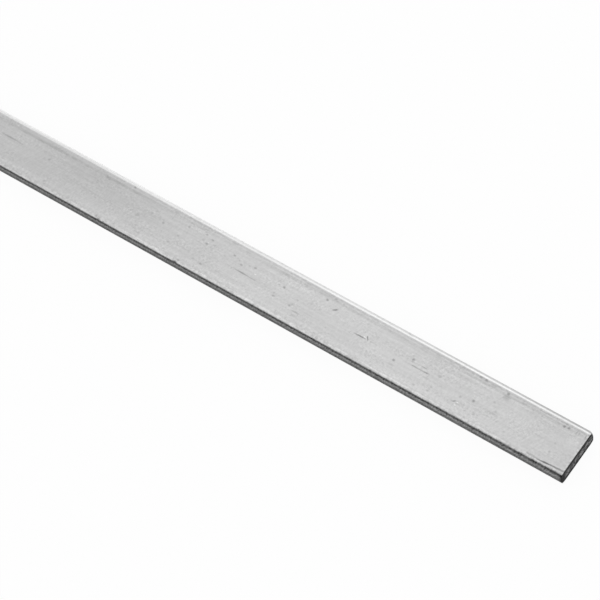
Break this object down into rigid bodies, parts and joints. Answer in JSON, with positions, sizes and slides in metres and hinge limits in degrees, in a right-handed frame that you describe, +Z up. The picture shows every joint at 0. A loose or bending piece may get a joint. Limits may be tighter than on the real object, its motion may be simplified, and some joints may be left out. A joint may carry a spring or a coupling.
{
  "type": "flat bar",
  "caption": "Straight solid steel flat bar with wide flat faces, narrow slightly barrelled edges, rounded long corners and square-sawn ends.",
  "frame": {"origin": "middle of the underside, halfway along the bar and halfway across it", "axes": "+X along the bar towards the end that the picture shows, +Y across its width, +Z up through its thickness"},
  "size_m": [0.9144, 0.019, 0.0063],
  "materials": {
    "flat_bar": "matte, mill-finished, with fine lengthwise streaks and scattered small marks"
  },
  "bodies": {
    "root": {"flat_bar": "flat_bar"}
  },
  "joints": []
}
